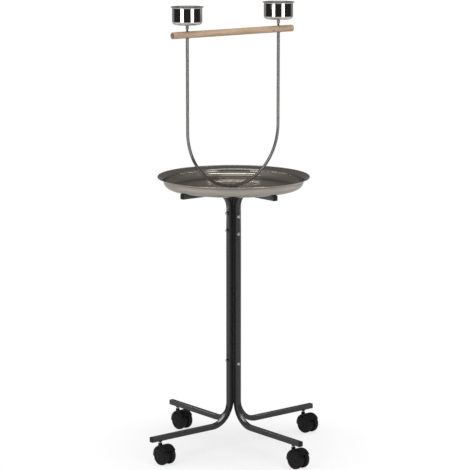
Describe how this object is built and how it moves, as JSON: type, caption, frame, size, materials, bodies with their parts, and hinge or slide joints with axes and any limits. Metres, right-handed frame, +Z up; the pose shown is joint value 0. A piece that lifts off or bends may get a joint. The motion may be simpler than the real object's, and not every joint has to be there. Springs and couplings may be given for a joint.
{
  "type": "bird perch stand",
  "caption": "Rolling bird stand: wooden perch and feeding cups on a U-shaped rod above a round drip tray, on a post of bent square tubes with casters.",
  "frame": {"origin": "on the floor below the axis of the post", "axes": "+Z up; the perch and two of the legs lie along X, the other two legs along Y; the casters trail towards -Y"},
  "size_m": [0.56, 0.575, 1.2],
  "materials": {
    "frame_paint": "satin black powder coat on square steel tube",
    "cap_plastic": "black moulded plastic",
    "zinc": "bright zinc plated steel",
    "dark_steel": "dark plated steel nuts and washers",
    "tray_steel": "polished stainless steel sheet",
    "rod_steel": "dark satin steel rod",
    "perch_wood": "natural sanded hardwood",
    "cup_steel": "polished stainless steel sheet",
    "caster_plastic": "black moulded nylon",
    "wheel_plastic": "black moulded nylon wheel"
  },
  "bodies": {
    "stand": {"core_tube": "frame_paint", "core_insert": "zinc", "tube_right": "frame_paint", "tube_back": "frame_paint", "tube_left": "frame_paint", "tube_front": "frame_paint", "leg_cap_right": "cap_plastic", "leg_cap_back": "cap_plastic", "leg_cap_left": "cap_plastic", "leg_cap_front": "cap_plastic", "arm_cap_right": "cap_plastic", "arm_cap_back": "cap_plastic", "arm_cap_left": "cap_plastic", "arm_cap_front": "cap_plastic", "bolts_x": "zinc", "bolts_y": "zinc", "nuts_x": "dark_steel", "nuts_y": "dark_steel", "tray": "tray_steel", "tray_washer": "zinc", "perch_rod": "rod_steel", "perch": "perch_wood", "perch_washers": "dark_steel", "perch_nuts": "zinc", "caster_right_socket": "caster_plastic", "caster_back_socket": "caster_plastic", "caster_left_socket": "caster_plastic", "caster_front_socket": "caster_plastic"},
    "caster_right": {"caster_right_stem": "zinc", "caster_right_hood": "caster_plastic", "caster_right_axle": "zinc"},
    "wheel_right_a": {"caster_right_wheel_a": "wheel_plastic"},
    "wheel_right_b": {"caster_right_wheel_b": "wheel_plastic"},
    "caster_back": {"caster_back_stem": "zinc", "caster_back_hood": "caster_plastic", "caster_back_axle": "zinc"},
    "wheel_back_a": {"caster_back_wheel_a": "wheel_plastic"},
    "wheel_back_b": {"caster_back_wheel_b": "wheel_plastic"},
    "caster_left": {"caster_left_stem": "zinc", "caster_left_hood": "caster_plastic", "caster_left_axle": "zinc"},
    "wheel_left_a": {"caster_left_wheel_a": "wheel_plastic"},
    "wheel_left_b": {"caster_left_wheel_b": "wheel_plastic"},
    "caster_front": {"caster_front_stem": "zinc", "caster_front_hood": "caster_plastic", "caster_front_axle": "zinc"},
    "wheel_front_a": {"caster_front_wheel_a": "wheel_plastic"},
    "wheel_front_b": {"caster_front_wheel_b": "wheel_plastic"},
    "cup_left": {"cup_left": "cup_steel"},
    "cup_right": {"cup_right": "cup_steel"}
  },
  "joints": [
    {"name": "swivel_right", "type": "hinge", "parent": "stand", "child": "caster_right", "pos_m": [0.25, 0, 0.057], "axis": [0, 0, 1], "continuous": true},
    {"name": "roll_right_a", "type": "hinge", "parent": "caster_right", "child": "wheel_right_a", "pos_m": [0.25, -0.02, 0.025], "axis": [1, 0, 0], "continuous": true},
    {"name": "roll_right_b", "type": "hinge", "parent": "caster_right", "child": "wheel_right_b", "pos_m": [0.25, -0.02, 0.025], "axis": [1, 0, 0], "continuous": true},
    {"name": "swivel_back", "type": "hinge", "parent": "stand", "child": "caster_back", "pos_m": [0, 0.25, 0.057], "axis": [0, 0, 1], "continuous": true},
    {"name": "roll_back_a", "type": "hinge", "parent": "caster_back", "child": "wheel_back_a", "pos_m": [0, 0.23, 0.025], "axis": [1, 0, 0], "continuous": true},
    {"name": "roll_back_b", "type": "hinge", "parent": "caster_back", "child": "wheel_back_b", "pos_m": [0, 0.23, 0.025], "axis": [1, 0, 0], "continuous": true},
    {"name": "swivel_left", "type": "hinge", "parent": "stand", "child": "caster_left", "pos_m": [-0.25, 0, 0.057], "axis": [0, 0, 1], "continuous": true},
    {"name": "roll_left_a", "type": "hinge", "parent": "caster_left", "child": "wheel_left_a", "pos_m": [-0.25, -0.02, 0.025], "axis": [1, 0, 0], "continuous": true},
    {"name": "roll_left_b", "type": "hinge", "parent": "caster_left", "child": "wheel_left_b", "pos_m": [-0.25, -0.02, 0.025], "axis": [1, 0, 0], "continuous": true},
    {"name": "swivel_front", "type": "hinge", "parent": "stand", "child": "caster_front", "pos_m": [0, -0.25, 0.057], "axis": [0, 0, 1], "continuous": true},
    {"name": "roll_front_a", "type": "hinge", "parent": "caster_front", "child": "wheel_front_a", "pos_m": [0, -0.27, 0.025], "axis": [1, 0, 0], "continuous": true},
    {"name": "roll_front_b", "type": "hinge", "parent": "caster_front", "child": "wheel_front_b", "pos_m": [0, -0.27, 0.025], "axis": [1, 0, 0], "continuous": true},
    {"name": "lift_cup_left", "type": "slide", "parent": "stand", "child": "cup_left", "axis": [0, 0, 1], "range_m": [0, 0.03]},
    {"name": "lift_cup_right", "type": "slide", "parent": "stand", "child": "cup_right", "axis": [0, 0, 1], "range_m": [0, 0.03]}
  ]
}
